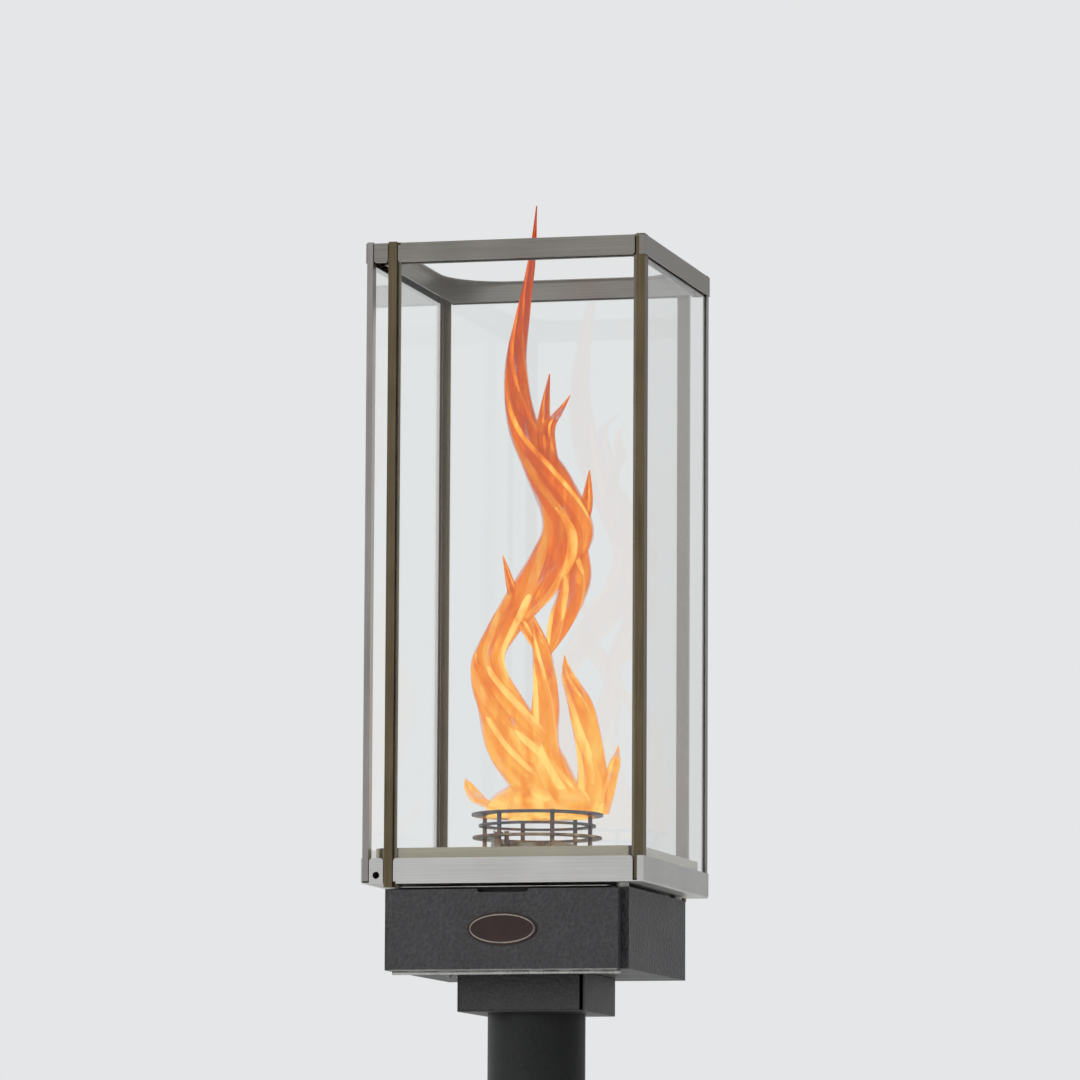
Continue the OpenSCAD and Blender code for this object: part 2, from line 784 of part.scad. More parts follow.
module base_pan() {
    bend = pan_bend_r;
    tab_hole_r = 3.2;
    color(steel) difference() {
        union() {
            // floor with both sides bent up
            translate([0, half, pan_z]) rotate([90, 0, 0]) linear_extrude(2 * half) difference() {
                pan_section(half, bend, pan_h);
                translate([0, sheet]) pan_section(half - sheet, bend - sheet, pan_h);
            }
            both_halves() {
                front_band(tab_x0, tab_x1, pan_z, pan_h, flip = true);
                front_band(band_x0, band_x1, pan_z, pan_h, flip = true);
                block([corner_tab_x0, -half, pan_z], [half - sheet / 2, -half + sheet, pan_z + pan_h]);
            }
        }
        both_halves() {
            block([front_post_x - gap, -half - through, pan_z - through],
                [front_post_x + inner_leg + gap, -half + channel_in + gap, pan_floor + through]);
            translate([(tab_x0 + tab_x1) / 2, 0, pan_z + pan_h / 3]) rod_y(-half - through, sheet + 2 * through, tab_hole_r);
        }
        translate([0, 0, pan_z - through]) burner_holes(sheet + 2 * through);
        at_corners(pan_bolt_pitch) translate([0, 0, pan_z - through])
            cylinder(h = sheet + 2 * through, r = 2.5 + hole_gap);
        // combustion air
        for (a = [0:30:330]) rotate(a) translate([75, 0, pan_z - through]) cylinder(h = sheet + 2 * through, r = 6);
    }
}

// section of the pan across its width: flat floor, round bends, upright sides
module pan_section(w, r, h) {
    translate([-w, r]) square([2 * w, h - r]);
    translate([-w + r, 0]) square([2 * (w - r), h]);
    for (x = [-1, 1]) translate([x * (w - r), r]) circle(r);
}

module burner_deck() {
    side = 2 * deck_half;
    color(warm_steel) difference() {
        translate([0, 0, pan_floor]) linear_extrude(deck_z - pan_floor) rounded_square(side, deck_r);
        translate([0, 0, pan_floor - through]) linear_extrude(deck_z - sheet - pan_floor + through)
            rounded_square(side - 2 * sheet, deck_r - sheet);
        translate([0, 0, deck_z - sheet - through]) burner_holes(sheet + 2 * through);
        for (a = [15:30:345]) rotate(a) translate([86, 0, deck_z - sheet - through])
            cylinder(h = sheet + 2 * through, r = 6);
    }
}

module burner_head() {
    wall = 1.5;
    color(burnt_steel) translate([0, 0, deck_z]) difference() {
        cylinder(h = burner_h, r = burner_r);
        translate([0, 0, wall]) cylinder(h = burner_h - 2 * wall, r = burner_r - wall);
        translate([0, 0, -through]) cylinder(h = wall + 2 * through, r = venturi_r + fit);
        for (ring = [[8, 9, 1.4], [18, 16, 1.4], [28, 24, 1.4]], i = [0:ring[1] - 1])
            rotate(360 * i / ring[1]) translate([ring[0] * burner_r / 34, 0, burner_h - wall - through])
                cylinder(h = wall + 2 * through, r = ring[2]);
    }
}

module flame_ring(i) {
    color(burnt_steel) translate([0, 0, deck_z + ring_z[i]]) difference() {
        tube(ring_r[i], ring_hole_r, ring_t);
        for (k = [0:rods - 1]) rotate(360 * k / rods) translate([rod_circle_r, 0, -through])
            cylinder(h = ring_t + 2 * through, r = rod_r + fit);
    }
}

module flame_ring_low() {
    flame_ring(0);
}

module flame_ring_mid() {
    flame_ring(1);
}

module flame_ring_top() {
    flame_ring(2);
}

module ring_rods() {
    color(burnt_steel) for (k = [0:rods - 1]) rotate(360 * k / rods)
        translate([rod_circle_r, 0, deck_z]) cylinder(h = ring_z[2] + ring_t + 1, r = rod_r);
}

module pilot_burner() {
    hood_r = 3.8;
    color(steel) translate([pilot_xy[0], pilot_xy[1], 0]) {
        translate([0, 0, valve_bottom + valve_h - 4]) cylinder(h = deck_z + 2 - (valve_bottom + valve_h - 4), r = 2);
        translate([0, 0, deck_z]) difference() {
            cylinder(h = 20, r = hood_r);
            translate([0, 0, 3]) cylinder(h = 20, r = hood_r - 1);
            rotate(pilot_angle) translate([-hood_r, 0, 15]) cube([2 * hood_r, 2 * hood_r, 6], center = true);
        }
    }
}

module spark_electrode() {
    color(white_ceramic) translate([electrode_xy[0], electrode_xy[1], 0]) {
        translate([0, 0, box_top - 4]) cylinder(h = deck_z + 16 - (box_top - 4), r = 3);
        translate([0, 0, deck_z]) cylinder(h = 3, r = 4.6);
        translate([0, 0, deck_z + 16]) cylinder(h = 6, r = 0.9);
    }
}

module thermocouple() {
    color(steel) translate([thermocouple_xy[0], thermocouple_xy[1], 0]) {
        translate([0, 0, valve_bottom + valve_h - 4]) cylinder(h = deck_z + 20 - (valve_bottom + valve_h - 4), r = 2.2);
        translate([0, 0, deck_z]) cylinder(h = 3, r = 3.6);
    }
}

// ---- lantern ----

// silicone blocks that the panes stand on, two under each
module glass_blocks() {
    len = 20;
    inset = max(glass_in, pan_bend_r);
    outer = glass_in + glass_t;
    color(black_plastic) for (a = [0:90:270], x = [-1, 1]) rotate(a)
        block([x * lantern_w / 5 - len / 2, -half + inset, pan_floor],
            [x * lantern_w / 5 + len / 2, -half + outer, glass_foot]);
}

// a channel for a left pane's front edge: its web shows in the front face
module side_post() {
    x0 = -half + sheet;
    x1 = -half + channel_in;
    block([x0, -half, post_foot], [x1, -half + post_wall, post_tip]);
    block([x0, -half, post_foot], [x0 + post_wall, -half + outer_leg, post_tip]);
    block([x1 - post_wall, -half, post_foot], [x1, -half + inner_leg, post_tip]);
}

// a channel for the front pane's left edge: its hemmed outer leg lies flush in the front face
module front_post() {
    below = 3;
    y1 = -half + channel_in;
    x0 = front_post_x;
    z0 = pan_z - below;
    block([x0, -half, z0], [x0 + post_wall, y1, post_tip]);
    block([x0, -half, z0], [x0 + outer_leg, -half + sheet + post_wall, post_tip]);
    block([x0, y1 - post_wall, z0], [x0 + inner_leg, y1, post_tip]);
}

// a corner post with one channel for the front pane and one for the right pane
module corner_post() {
    x1 = half - sheet;
    y0 = -half + sheet;
    y1 = -half + channel_in;
    block([x1 - outer_leg, y0, post_foot], [x1, y0 + post_wall, post_tip]);
    block([x1 - inner_leg, y1 - post_wall, post_foot], [x1, y1, post_tip]);
    block([x1 - post_wall, y0, post_foot], [x1, y1 + outer_leg, post_tip]);
    block([half - channel_in, y1 - post_wall, post_foot], [half - channel_in + post_wall, y1 + outer_leg, post_tip]);
}

module post_left_front() {
    color(steel) side_post();
}

module post_front_left() {
    color(warm_steel) front_post();
}

module post_front_right() {
    color(warm_steel) corner_post();
}

module post_right_back() {
    color(steel) rotate(180) side_post();
}

module post_back_right() {
    color(warm_steel) rotate(180) front_post();
}

module post_back_left() {
    color(warm_steel) rotate(180) corner_post();
}

module front_pane() {
    color([0.8, 0.9, 0.9, 0.3])
        block([front_post_x + post_wall + edge_clear, -half + glass_in, glass_foot],
            [half - sheet - post_wall - edge_clear, -half + glass_in + glass_t, glass_head]);
}

module side_pane() {
    color([0.8, 0.9, 0.9, 0.3])
        block([-half + glass_in, -half + post_wall + edge_clear, glass_foot],
            [-half + glass_in + glass_t, half - channel_in - edge_clear, glass_head]);
}

module glass_front() {
    front_pane();
}

module glass_back() {
    rotate(180) front_pane();
}

module glass_left() {
    side_pane();
}

module glass_right() {
    rotate(180) side_pane();
}

module top_frame() {
    z = frame_top - frame_h;
    inner = half - frame_channel;
    opening = 2 * (inner - sheet - frame_reach);
    corner_room_x = half - sheet - inner_leg - gap;
    color(steel) difference() {
        union() {
            // top plate
            translate([0, 0, frame_top - sheet]) linear_extrude(sheet) difference() {
                square(2 * half, center = true);
                rounded_square(opening, opening_r);
            }
            // outer bands
            for (x = [-half, half - sheet]) block([x, -half, z], [x + sheet, half, frame_top]);
            both_halves() {
                front_band(tab_x0, tab_x1, z, frame_h);
                front_band(band_x0, band_x1, z, frame_h);
                block([corner_tab_x0, -half, z], [half - sheet / 2, -half + sheet, frame_top]);
            }
            // inner bands
            difference() {
                block([-inner, -inner, z], [inner, inner, frame_top]);
                block([-inner + sheet, -inner + sheet, z - through],
                    [inner - sheet, inner - sheet, frame_top + through]);
            }
        }
        // room for the posts' tips
        both_halves() {
            post_room(frame_top - sheet - through, frame_top + through);
            block([corner_room_x, -half + sheet, frame_top - sheet - through],
                [half - sheet, -half + channel_in + outer_leg + gap, frame_top + through]);
        }
    }
}

base_plate();
base_gussets();
pole();
pole_cap();
head_bolts();
collar_wrap();
collar_front();
control_box();
control_panel();
box_door();
badge();
hinge_leaf_box();
hinge_leaf_door();
hinge_pin();
door_magnet();
valve_bracket();
bracket_screws();
gas_valve();
valve_plunger();
valve_stem();
control_knob();
igniter_body();
igniter_button();
ignition_wire();
supply_tube();
shutoff_valve();
shutoff_handle();
link_tube();
outlet_tube();
orifice_bracket();
orifice_holder();
gas_orifice();
venturi_tube();
air_shutter();
pan_spacers();
pan_bolts();
base_pan();
burner_deck();
burner_head();
flame_ring_low();
flame_ring_mid();
flame_ring_top();
ring_rods();
pilot_burner();
spark_electrode();
thermocouple();
glass_blocks();
post_left_front();
post_front_left();
post_front_right();
post_right_back();
post_back_right();
post_back_left();
glass_front();
glass_right();
glass_back();
glass_left();
top_frame();
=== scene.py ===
# The looks of a square glass gas torch on a round pole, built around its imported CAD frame.
# The frame is in metres: Z up, the door faces -Y, and the base plate stands on Z = 0.

import math

import bmesh
import bpy
import numpy as np
from mathutils import Matrix, Vector


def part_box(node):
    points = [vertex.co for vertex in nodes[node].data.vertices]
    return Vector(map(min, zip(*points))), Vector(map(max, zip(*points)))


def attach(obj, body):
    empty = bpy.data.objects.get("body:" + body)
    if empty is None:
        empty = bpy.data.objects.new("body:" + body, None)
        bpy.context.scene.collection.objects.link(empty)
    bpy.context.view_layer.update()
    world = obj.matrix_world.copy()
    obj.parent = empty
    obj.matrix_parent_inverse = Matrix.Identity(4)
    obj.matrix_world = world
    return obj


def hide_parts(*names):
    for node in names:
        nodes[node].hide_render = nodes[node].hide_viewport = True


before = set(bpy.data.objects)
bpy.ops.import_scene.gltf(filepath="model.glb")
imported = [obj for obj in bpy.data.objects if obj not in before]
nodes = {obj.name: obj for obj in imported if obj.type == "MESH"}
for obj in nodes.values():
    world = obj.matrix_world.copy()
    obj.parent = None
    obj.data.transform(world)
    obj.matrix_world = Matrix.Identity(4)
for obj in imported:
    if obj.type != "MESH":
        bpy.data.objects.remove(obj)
scene = bpy.context.scene
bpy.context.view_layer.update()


# --- Pole and base plate ---------------------------------------------------------------
# A round steel tube stands on a bolt-down plate with four gussets and a seam of weld.
# All of it is coated in one satin black paint with a slight orange peel.


def add(tree, kind, inputs=None, **settings):
    """Adds a node; each input is a value, or another node's output to link."""
    made = tree.nodes.new(kind)
    for name, value in settings.items():
        setattr(made, name, value)
    for socket, value in (inputs or {}).items():
        if isinstance(value, bpy.types.NodeSocket):
            tree.links.new(value, made.inputs[socket])
        else:
            made.inputs[socket].default_value = value
    return made


def maths(tree, operation, *values, clamp=False):
    """The output of a Math node."""
    return add(
        tree,
        "ShaderNodeMath",
        dict(enumerate(values)),
        operation=operation,
        use_clamp=clamp,
    ).outputs[0]


def mixed(tree, factor, a, b, kind="RGBA"):
    """The output of a Mix node between two colours, vectors or numbers."""
    first, output = {"FLOAT": (2, 0), "VECTOR": (4, 1), "RGBA": (6, 2)}[kind]
    inputs = {0: factor, first: a, first + 1: b}
    return add(tree, "ShaderNodeMix", inputs, data_type=kind).outputs[output]


def noise(tree, vector, scale, detail=3.0):
    """The grey output of a Noise texture."""
    inputs = {"Vector": vector, "Scale": scale, "Detail": detail}
    return add(tree, "ShaderNodeTexNoise", inputs).outputs[0]


def effect(name, **inputs):
    """A node group with these inputs and the three outputs that a finish takes."""
    tree = bpy.data.node_groups.new(name, "ShaderNodeTree")
    for label, default in inputs.items():
        kind = "NodeSocketColor" if isinstance(default, tuple) else "NodeSocketFloat"
        made = tree.interface.new_socket(label, in_out="INPUT", socket_type=kind)
        made.default_value = default
    for label in ("Color", "Roughness", "Height"):
        kind = "NodeSocketColor" if label == "Color" else "NodeSocketFloat"
        tree.interface.new_socket(label, in_out="OUTPUT", socket_type=kind)
    return tree, add(tree, "NodeGroupInput").outputs


def close(tree, color, roughness, height):
    """Links the three results to the group's outputs."""
    add(tree, "NodeGroupOutput", {0: color, 1: roughness, 2: height})


def finish(name, group, inputs, relief=0.0001, **shader):
    """A material: Principled BSDF fed by one effect group, with its height as bump."""
    material = bpy.data.materials.new(name)
    material.use_nodes = True
    tree = material.node_tree
    made = add(tree, "ShaderNodeGroup", inputs, node_tree=group)
    height = {"Height": made.outputs["Height"], "Distance": relief}
    bump = add(tree, "ShaderNodeBump", height)
    surface = tree.nodes["Principled BSDF"]
    tree.links.new(made.outputs["Color"], surface.inputs["Base Color"])
    tree.links.new(made.outputs["Roughness"], surface.inputs["Roughness"])
    tree.links.new(bump.outputs["Normal"], surface.inputs["Normal"])
    for socket, value in shader.items():
        surface.inputs[socket.replace("_", " ")].default_value = value
    return material


def dress(material, *names):
    """Gives CAD nodes this material."""
    for name in names:
        for place in nodes[name].material_slots:
            place.material = material


def smooth_mesh(name, vertices, faces, *materials):
    """A new smooth-shaded object from arrays of points and faces."""
    mesh = bpy.data.meshes.new(name)
    mesh.from_pydata(vertices.tolist(), [], faces.tolist())
    mesh.shade_smooth()
    for material in materials:
        mesh.materials.append(material)
    made = bpy.data.objects.new(name, mesh)
    scene.collection.objects.link(made)
    return made


def piece(name, body, slot, vertices, faces, *materials):
    """A new smooth-shaded mesh that rides on a body."""
    made = smooth_mesh(name, vertices, faces, *materials)
    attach(made, body)
    return made


def softened(material, body, slot, *names, edge=0.0004):
    """Shows CAD nodes with rounded edges: a merged copy of each, with a small bevel."""
    for name in names:
        mesh = bmesh.new()
        mesh.from_mesh(nodes[name].data)
        bmesh.ops.remove_doubles(mesh, verts=mesh.verts, dist=1e-6)
        flat = math.radians(0.5)
        bmesh.ops.dissolve_limit(
            mesh, angle_limit=flat, verts=mesh.verts, edges=mesh.edges
        )
        data = bpy.data.meshes.new(name + "_finished")
        mesh.to_mesh(data)
        mesh.free()
        if "custom_normal" in data.attributes:
            data.attributes.remove(data.attributes["custom_normal"])
        data.shade_smooth()
        data.materials.clear()
        data.materials.append(material)
        made = bpy.data.objects.new(name + "_finished", data)
        scene.collection.objects.link(made)
        bevel = made.modifiers.new("edges", "BEVEL")
        bevel.width = edge
        bevel.segments = 2
        bevel.limit_method = "ANGLE"
        bevel.angle_limit = math.radians(35.0)
        bevel.harden_normals = True
        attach(made, body)
        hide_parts(name)


def lathe_faces(rings, around):
    """Quads of a grid of rings that closes around, as an array of vertex numbers."""
    ring, step = np.meshgrid(np.arange(rings - 1), np.arange(around), indexing="ij")
    a = ring * around + step
    b = ring * around + (step + 1) % around
    return np.stack([a, b, b + around, a + around], -1).reshape(-1, 4)


paint, given = effect(
    "sprayed_paint",
    Paint=(0.02, 0.02, 0.02, 1.0),
    Grain=900.0,
    Leather=0.0,
    Sheen=0.4,
    Dust=0.0,
)
place = add(paint, "ShaderNodeTexCoord").outputs["Object"]
height_up = add(paint, "ShaderNodeSeparateXYZ", {0: place}).outputs["Z"]
peel = noise(paint, place, given["Grain"], 2.0)
cells = {"Vector": place, "Scale": given["Grain"]}
pebbles = add(paint, "ShaderNodeTexVoronoi", cells, feature="SMOOTH_F1").outputs[0]
relief = mixed(paint, given["Leather"], peel, pebbles, "FLOAT")
cloud = noise(paint, place, 24.0, 4.0)
speckle = maths(paint, "MULTIPLY_ADD", relief, 1.2, 0.4)
shade = maths(paint, "MULTIPLY_ADD", cloud, 0.5, 0.75)
tone = maths(paint, "MULTIPLY", speckle, shade)
grey = add(paint, "ShaderNodeCombineXYZ", {0: tone, 1: tone, 2: tone}).outputs[0]
tinted = add(
    paint,
    "ShaderNodeVectorMath",
    {0: given["Paint"], 1: grey},
    operation="MULTIPLY",
).outputs[0]
near_ground = maths(paint, "MULTIPLY_ADD", height_up, -5.0, 1.0, clamp=True)
dusty = maths(paint, "MULTIPLY", near_ground, cloud)
dusty = maths(paint, "MULTIPLY", dusty, given["Dust"], clamp=True)
colour = mixed(paint, dusty, tinted, (0.16, 0.14, 0.11, 1.0))
sheen = maths(paint, "MULTIPLY_ADD", cloud, 0.2, given["Sheen"])
close(paint, colour, maths(paint, "MULTIPLY_ADD", dusty, 0.4, sheen), relief)

satin_black = finish(
    "satin_black_paint",
    paint,
    {"Paint": (0.010, 0.0105, 0.011, 1.0), "Grain": 420.0, "Sheen": 0.34, "Dust": 0.45},
    relief=0.00006,
    Specular_IOR_Level=0.34,
)
dress(satin_black, "pole")
softened(
    satin_black,
    "torch",
    "satin_black_paint",
    "base_plate",
    "base_gussets",
    "pole_cap",
    edge=0.0008,
)

pole_low, pole_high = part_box("pole")
BEAD_AROUND, BEAD_RINGS = 360, 13
BEAD_SIZE, BEAD_RIPPLE, BEAD_WAVES = 0.0042, 0.0003, 96


def weld_bead(radius, level):
    """A closed ring of weld: a small circle swept round the tube.

    Point = (R + s cos v) (cos u, sin u), level + s sin v, with s = size + ripple cos(96 u)
    and v bent a little by u, so that the ripples lean as laid metal does.
    """
    u = np.linspace(0, 2 * np.pi, BEAD_AROUND, endpoint=False)
    v = np.linspace(0, 2 * np.pi, BEAD_RINGS)[:, None]
    s = BEAD_SIZE + BEAD_RIPPLE * np.cos(BEAD_WAVES * u + 1.5 * np.cos(v))
    out = radius + s * np.cos(v)
    grid = np.stack([out * np.cos(u), out * np.sin(u), level + s * np.sin(v)], -1)
    faces = lathe_faces(BEAD_RINGS, BEAD_AROUND)
    last = (BEAD_RINGS - 1) * BEAD_AROUND
    return grid[:-1].reshape(-1, 3), np.where(faces >= last, faces - last, faces)


piece(
    "pole_weld",
    "torch",
    "satin_black_paint",
    *weld_bead(pole_high.x, pole_low.z),
    satin_black,
)


# --- Collar ----------------------------------------------------------------------------
# A square sleeve folded from thin sheet hides the pole cap. Its front is a separate
# plate between the folded returns, and both are painted as the pole is.

collar_black = finish(
    "collar_paint",
    paint,
    {"Paint": (0.030, 0.030, 0.032, 1.0), "Grain": 380.0, "Leather": 0.4, "Sheen": 0.31},
    relief=0.0007,
)
softened(
    collar_black, "torch", "satin_black_paint", "collar_wrap", "collar_front", edge=0.0005
)


# --- Control box and door --------------------------------------------------------------
# Folded steel with a leathery charcoal powder coat. The door hangs on the front by a
# piano hinge along its lower edge.

charcoal = finish(
    "textured_charcoal_paint",
    paint,
    {"Paint": (0.036, 0.036, 0.039, 1.0), "Grain": 340.0, "Leather": 0.6, "Sheen": 0.30},
    relief=0.0016,
    Specular_IOR_Level=0.45,
)
softened(charcoal, "torch", "textured_charcoal_paint", "control_box", edge=0.0006)
softened(charcoal, "door", "textured_charcoal_paint", "box_door", edge=0.0006)


# --- Badge -----------------------------------------------------------------------------
# A stamped oval plate with a raised bright rim round a dark red-brown field. It is
# stuck to the middle of the door, and it is bare.

moulded, given = effect(
    "moulded_or_cast",
    Main=(0.5, 0.5, 0.5, 1.0),
    Second=(0.4, 0.4, 0.4, 1.0),
    Grain=300.0,
    Gloss=0.4,
)
place = add(moulded, "ShaderNodeTexCoord").outputs["Object"]
fine = noise(moulded, place, given["Grain"], 4.0)
wide = noise(moulded, place, 60.0, 3.0)
patch = maths(moulded, "MULTIPLY", fine, wide)
patch = maths(moulded, "MULTIPLY_ADD", patch, 3.2, -0.3, clamp=True)
colour = mixed(moulded, patch, given["Main"], given["Second"])
close(moulded, colour, maths(moulded, "MULTIPLY_ADD", wide, 0.22, given["Gloss"]), fine)

badge_field = finish(
    "badge_field",
    moulded,
    {
        "Main": (0.013, 0.0048, 0.004, 1.0),
        "Second": (0.026, 0.010, 0.008, 1.0),
        "Grain": 1500.0,
        "Gloss": 0.3,
    },
    relief=0.0002,
)
badge_rim = finish(
    "badge_rim",
    moulded,
    {
        "Main": (0.46, 0.42, 0.38, 1.0),
        "Second": (0.26, 0.22, 0.19, 1.0),
        "Grain": 900.0,
        "Gloss": 0.22,
    },
    relief=0.00005,
    Metallic=1.0,
)
BADGE_AROUND = 192
# Inset from the edge and height above the door, in millimetres.
BADGE_PROFILE = np.array(
    [
        (0.0, 0.0),
        (0.0, 1.0),
        (0.15, 1.22),
        (0.45, 1.3),
        (1.6, 1.3),
        (1.85, 1.22),
        (1.95, 1.3),
        (2.15, 1.55),
        (2.5, 1.6),
        (2.85, 1.55),
        (3.05, 1.25),
        (3.4, 1.15),
        (7.0, 1.18),
        (11.0, 1.2),
        (14.6, 1.2),
    ]
)
BADGE_BRIGHT_RINGS = (6, 10)


def badge_mesh():
    """An oval relief: profile (inset o, height h) turned round an ellipse.

    Point = ((a - o) cos t, door front - h, centre + (b - o) sin t).
    """
    low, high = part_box("badge")
    middle = (low + high) / 2
    t = np.linspace(0, 2 * np.pi, BADGE_AROUND, endpoint=False)
    inset, rise = (BADGE_PROFILE / 1000).T[:, :, None]
    grid = np.stack(
        [
            (high.x - inset) * np.cos(t),
            high.y - rise + 0 * t,
            middle.z + (high.z - middle.z - inset) * np.sin(t),
        ],
        -1,
    )
    return grid.reshape(-1, 3), lathe_faces(len(BADGE_PROFILE), BADGE_AROUND)


def cap_ends(made):
    """Fills the open ends of a mesh and turns its faces outward."""
    shell = bmesh.new()
    shell.from_mesh(made.data)
    bmesh.ops.holes_fill(shell, edges=[e for e in shell.edges if e.is_boundary])
    bmesh.ops.recalc_face_normals(shell, faces=shell.faces)
    shell.to_mesh(made.data)
    shell.free()


points, faces = badge_mesh()
badge = piece(
    "badge_plate", "door", "dark_bronze_badge", points, faces, badge_field, badge_rim
)
ring_of_face = np.repeat(np.arange(len(BADGE_PROFILE) - 1), BADGE_AROUND)
bright = (ring_of_face >= BADGE_BRIGHT_RINGS[0]) & (ring_of_face < BADGE_BRIGHT_RINGS[1])
badge.data.polygons.foreach_set("material_index", bright.astype(np.int32))
cap_ends(badge)
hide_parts("badge")


# --- Hinge, bolts and brackets ---------------------------------------------------------
# Zinc-plated steel, bright on the worn knuckles. The magnet that holds the door shut is
# a plain ferrite block.

zinc = finish(
    "zinc_plated_steel",
    moulded,
    {
        "Main": (0.60, 0.60, 0.58, 1.0),
        "Second": (0.36, 0.36, 0.35, 1.0),
        "Grain": 500.0,
        "Gloss": 0.24,
    },
    relief=0.00004,
    Metallic=1.0,
)
dress(
    zinc,
    "bracket_screws",
    "head_bolts",
    "hinge_leaf_box",
    "hinge_leaf_door",
    "hinge_pin",
    "orifice_bracket",
    "pan_bolts",
    "pan_spacers",
    "valve_bracket",
)
softened(zinc, "torch", "zinc_plated_steel", "control_panel")
STRIP_HALF, STRIP_FRONT, STRIP_BACK, STRIP_THICK = 0.0965, -0.1240, -0.0985, 0.0012
STRIP_STEPS, STRIP_ROUND = 48, 8
STRIP_WAVE, STRIP_WAVES_PER_M = 0.0001, 160


def edge_strip():
    """A flat strip with a rolled front edge, laid on the box under the pan.

    Section = a rectangle whose front end is a half circle of the sheet's thickness, drawn
    out along X with a slight waviness of 0.1 mm.
    """
    box_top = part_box("control_box")[1].z
    r = STRIP_THICK / 2
    bend = np.linspace(-np.pi / 2, np.pi / 2, STRIP_ROUND)
    front = STRIP_FRONT + r - r * np.cos(bend)
    rise = r + r * np.sin(bend)
    y = np.concatenate([[STRIP_BACK], front, [STRIP_BACK]])
    z = np.concatenate([[0], rise, [2 * r]]) + box_top
    x = np.linspace(STRIP_HALF, -STRIP_HALF, STRIP_STEPS)[:, None]
    wave = STRIP_WAVE * np.sin(x * STRIP_WAVES_PER_M)
    grid = np.stack([x + 0 * y, y + wave, z + 0 * x], -1)
    return grid.reshape(-1, 3), lathe_faces(STRIP_STEPS, len(y))


strip = piece("edge_strip", "torch", "zinc_plated_steel", *edge_strip(), zinc)
cap_ends(strip)
ferrite = finish(
    "magnet_block",
    moulded,
    {
        "Main": (0.05, 0.05, 0.052, 1.0),
        "Second": (0.08, 0.075, 0.07, 1.0),
        "Grain": 1800.0,
        "Gloss": 0.55,
    },
    relief=0.00008,
)
dress(ferrite, "door_magnet")


# --- Pan, deck and top frame -----------------------------------------------------------
# Folded stainless sheet with a brushed grain that runs along each side. The pan is the
# brightest, and the top frame has gone warm and grey above the flame.

brushed, given = effect(
    "brushed_steel",
    Light=(0.6, 0.6, 0.6, 1.0),
    Dark=(0.4, 0.4, 0.4, 1.0),
    Upright=0.0,
    Gloss=0.25,
)
GRAIN_ACROSS, GRAIN_ALONG = 1100.0, 9.0
place = add(brushed, "ShaderNodeTexCoord").outputs["Object"]
x, y, z = add(brushed, "ShaderNodeSeparateXYZ", {0: place}).outputs
to_side = maths(
    brushed, "MAXIMUM", maths(brushed, "ABSOLUTE", x), maths(brushed, "ABSOLUTE", y)
)
level = {
    0: maths(brushed, "MULTIPLY", to_side, GRAIN_ACROSS),
    1: maths(brushed, "MULTIPLY", z, GRAIN_ACROSS),
    2: maths(brushed, "MULTIPLY", maths(brushed, "ADD", x, y), GRAIN_ALONG),
}
level = add(brushed, "ShaderNodeCombineXYZ", level).outputs[0]
upright = {"Vector": place, "Scale": (GRAIN_ACROSS, GRAIN_ACROSS, GRAIN_ALONG)}
upright = add(brushed, "ShaderNodeMapping", upright).outputs[0]
grain = noise(brushed, mixed(brushed, given["Upright"], level, upright, "VECTOR"), 1, 5)
smudge = noise(brushed, place, 14.0, 4.0)
blend = maths(brushed, "ADD", maths(brushed, "MULTIPLY", smudge, 0.8), grain)
blend = maths(brushed, "MULTIPLY_ADD", blend, 1.5, -0.85, clamp=True)
colour = mixed(brushed, blend, given["Dark"], given["Light"])
gloss = maths(brushed, "MULTIPLY_ADD", smudge, 0.22, given["Gloss"])
close(brushed, colour, maths(brushed, "MULTIPLY_ADD", grain, 0.12, gloss), grain)


def steel(name, light, dark, upright=0.0, gloss=0.16):
    """Brushed stainless steel between two tones."""
    inputs = {
        "Light": (*light, 1.0),
        "Dark": (*dark, 1.0),
        "Upright": upright,
        "Gloss": gloss,
    }
    return finish(name, brushed, inputs, relief=0.00003, Metallic=1.0)


pan_steel = steel("pan_steel", (0.88, 0.87, 0.85), (0.68, 0.67, 0.65))
frame_steel = steel("frame_steel", (0.42, 0.395, 0.36), (0.25, 0.235, 0.21))
deck_steel = steel("deck_steel", (0.52, 0.47, 0.37), (0.35, 0.31, 0.23))
softened(pan_steel, "torch", "stainless", "base_pan", edge=0.0003)
softened(frame_steel, "torch", "stainless", "top_frame", edge=0.0003)
softened(deck_steel, "torch", "warm_stainless", "burner_deck", edge=0.0003)


# --- Corner posts ----------------------------------------------------------------------
# Six narrow strips of stainless angle and channel hold the panes. The flame has turned
# four of them olive brown; the two outer bends have a lighter grey, a painted highlight.

# The lighter grey of the two outer-bend posts is a painted highlight where the bends catch the
# light.
painted_highlight_post = steel("painted_highlight_post", (0.50, 0.48, 0.46), (0.33, 0.31, 0.29), upright=1.0)
olive_post = steel("olive_post", (0.24, 0.19, 0.115), (0.12, 0.09, 0.052), upright=1.0)
softened(
    painted_highlight_post, "torch", "stainless", "post_left_front", "post_right_back", edge=0.0002
)
softened(
    olive_post,
    "torch",
    "warm_stainless",
    "post_front_left",
    "post_front_right",
    "post_back_right",
    "post_back_left",
    edge=0.0002,
)


# --- Glass -----------------------------------------------------------------------------
# Four panes of clear tempered glass stand on silicone blocks in the pan. Their edges are
# ground, and there the glass shows green.

GLASS_EDGE = 0.0016


